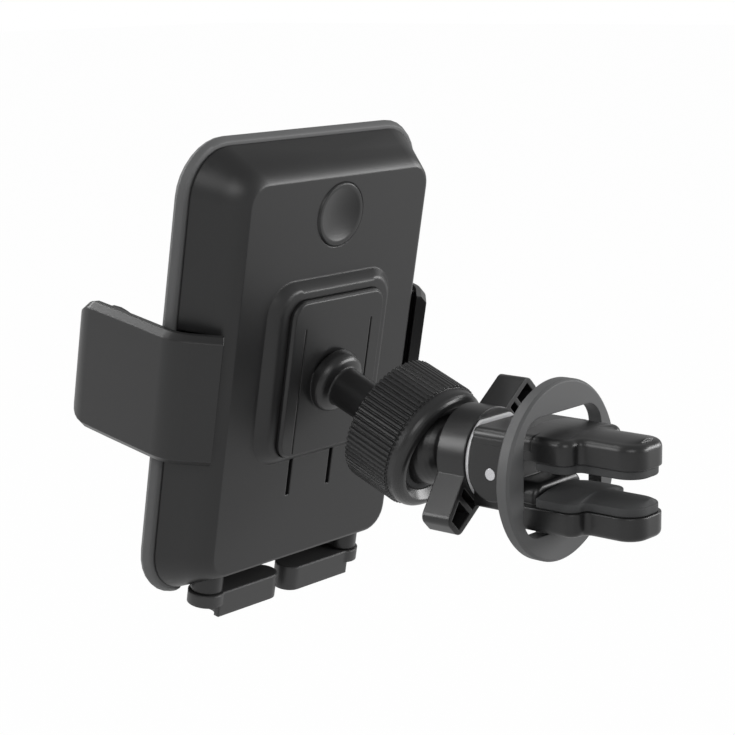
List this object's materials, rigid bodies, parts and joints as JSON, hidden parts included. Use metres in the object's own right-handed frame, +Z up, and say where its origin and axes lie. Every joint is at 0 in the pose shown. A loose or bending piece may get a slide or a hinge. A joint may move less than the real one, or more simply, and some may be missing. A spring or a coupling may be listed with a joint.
{
  "type": "phone holder",
  "caption": "Car phone holder with a clip for an air vent, a ball joint, a cradle with sliding side arms and folding support feet.",
  "frame": {"origin": "centre of the stabilising ring, in the plane of its face that bears on the vent", "axes": "-Y into the vent along the clip, +Y towards the phone, +Z up, +X across"},
  "size_m": [0.0804, 0.1231, 0.105],
  "materials": {
    "black_plastic": "satin",
    "grey_plastic": "satin",
    "inner_plastic": "matte",
    "rubber": "matte",
    "washer": "gloss",
    "steel": "polished"
  },
  "bodies": {
    "clip_body": {"lower_jaw": "black_plastic", "lower_jaw_pad": "rubber", "stabilising_ring": "grey_plastic", "pivot_pin": "steel", "ball_arm": "black_plastic", "thrust_washer": "washer", "jaw_spring": "steel"},
    "upper_jaw": {"upper_jaw": "black_plastic", "upper_jaw_pad": "rubber"},
    "wing_nut": {"wing_nut": "black_plastic"},
    "ball_seat": {"ball_seat": "inner_plastic"},
    "pressure_ring": {"pressure_ring": "inner_plastic"},
    "cradle": {"rear_housing": "black_plastic", "front_frame": "grey_plastic", "front_pad": "rubber", "housing_screws": "steel", "socket_plate": "black_plastic", "gear_screw": "steel", "latch_pin": "steel", "button_spring": "steel", "arm_spring": "steel"},
    "knurled_nut": {"knurled_nut": "black_plastic"},
    "button": {"release_button": "black_plastic"},
    "latch": {"latch_lever": "inner_plastic"},
    "left_arm": {"left_arm": "black_plastic", "left_arm_pad": "rubber"},
    "right_arm": {"right_arm": "black_plastic", "right_arm_pad": "rubber"},
    "pinion": {"pinion_gear": "inner_plastic"},
    "foot_slider": {"foot_slider": "black_plastic", "foot_screws": "steel"},
    "left_foot": {"left_foot": "black_plastic"},
    "right_foot": {"right_foot": "black_plastic"}
  },
  "joints": [
    {"name": "wing_turn", "type": "hinge", "parent": "clip_body", "child": "wing_nut", "pos_m": [0, 0.0206, 0], "axis": [0, 1, 0], "range_deg": [0, 170]},
    {"name": "jaw_open", "type": "hinge", "parent": "clip_body", "child": "upper_jaw", "pos_m": [0, 0.0105, -0.001], "axis": [-1, 0, 0], "range_deg": [0, 8]},
    {"name": "ball_pan", "type": "hinge", "parent": "clip_body", "child": "ball_seat", "pos_m": [0, 0.034, 0], "axis": [0, 0, 1], "range_deg": [-20, 20]},
    {"name": "ball_tilt", "type": "hinge", "parent": "ball_seat", "child": "pressure_ring", "pos_m": [0, 0.034, 0], "axis": [1, 0, 0], "range_deg": [-40, 5]},
    {"name": "ball_spin", "type": "hinge", "parent": "pressure_ring", "child": "cradle", "pos_m": [0, 0.034, 0], "axis": [0, -0.9291, -0.3697], "continuous": true},
    {"name": "nut_turn", "type": "hinge", "parent": "cradle", "child": "knurled_nut", "pos_m": [0, 0.034, 0], "axis": [0, -0.9291, -0.3697], "continuous": true},
    {"name": "button_press", "type": "slide", "parent": "cradle", "child": "button", "axis": [0, 0.9833, 0.1822], "range_m": [0, 0.0012], "stiffness_N_per_m": 400, "springref_m": -0.001, "deforming": ["button_spring"]},
    {"name": "latch_turn", "type": "hinge", "parent": "cradle", "child": "latch", "pos_m": [0, 0.06442, 0.03289], "axis": [-1, 0, 0], "range_deg": [0, 5.5]},
    {"name": "left_arm_slide", "type": "slide", "parent": "cradle", "child": "left_arm", "axis": [-1, 0, 0], "range_m": [0, 0.012], "deforming": ["arm_spring"]},
    {"name": "right_arm_slide", "type": "slide", "parent": "cradle", "child": "right_arm", "axis": [1, 0, 0], "range_m": [0, 0.012]},
    {"name": "pinion_turn", "type": "hinge", "parent": "cradle", "child": "pinion", "pos_m": [0, 0.07109, 0.01171], "axis": [0, -0.9833, -0.1822], "range_deg": [0, 116]},
    {"name": "foot_slide", "type": "slide", "parent": "cradle", "child": "foot_slider", "axis": [0, 0.1822, -0.9833], "range_m": [0, 0.008]},
    {"name": "left_foot_turn", "type": "hinge", "parent": "foot_slider", "child": "left_foot", "pos_m": [-0.022, 0.07931, -0.03706], "axis": [0, -0.1822, 0.9833], "range_deg": [0, 90]},
    {"name": "right_foot_turn", "type": "hinge", "parent": "foot_slider", "child": "right_foot", "pos_m": [0.022, 0.07931, -0.03706], "axis": [0, 0.1822, -0.9833], "range_deg": [0, 90]}
  ],
  "couplings": [
    {"joint": "jaw_open", "follows": "wing_turn", "ratio": 0.04412},
    {"joint": "latch_turn", "follows": "button_press", "rad_per_m": 75},
    {"joint": "right_arm_slide", "follows": "left_arm_slide", "ratio": 1},
    {"joint": "pinion_turn", "follows": "left_arm_slide", "rad_per_m": 166.67}
  ]
}
